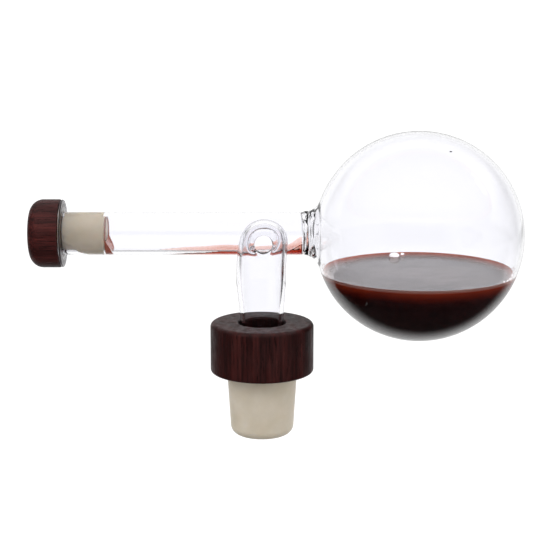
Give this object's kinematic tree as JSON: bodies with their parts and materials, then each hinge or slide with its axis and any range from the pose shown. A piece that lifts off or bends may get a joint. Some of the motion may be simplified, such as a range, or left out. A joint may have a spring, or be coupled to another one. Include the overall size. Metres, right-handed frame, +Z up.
{
  "type": "bottle-top glass pourer",
  "caption": "Blown glass bulb and side tube fused to a domed hollow stem on a wood and silicone bottle stopper, partly filled with red liquid, with a stopper in the tube's mouth.",
  "frame": {"origin": "centre of the wood collar's underside, on the plug's axis, where the collar rests on the bottle's lip", "axes": "+Z up along the plug and stem, +X towards the bulb, -Y the front, where the stem stands"},
  "size_m": [0.1518, 0.0644, 0.091],
  "materials": {
    "clear_glass": "gloss",
    "dark_wood": "satin",
    "silicone": "satin",
    "red_wine": "gloss"
  },
  "bodies": {
    "bottle_stopper": {"wood_collar": "dark_wood", "bottle_plug": "silicone"},
    "glass": {"stem_tube": "clear_glass", "port_ring": "clear_glass", "side_tube": "clear_glass", "pour_lip": "clear_glass", "bulb_neck": "clear_glass", "glass_bulb": "clear_glass", "liquid_pool": "red_wine", "tube_residue": "red_wine", "plug_residue": "red_wine"},
    "end_stopper": {"end_cap": "dark_wood", "end_plug": "silicone"}
  },
  "joints": [
    {"name": "glass_swivel", "type": "hinge", "parent": "bottle_stopper", "child": "glass", "pos_m": [0, 0, 0], "axis": [0, 0, 1], "continuous": true},
    {"name": "end_stopper_slide", "type": "slide", "parent": "glass", "child": "end_stopper", "axis": [-1, 0, 0], "range_m": [0, 0.03]}
  ]
}
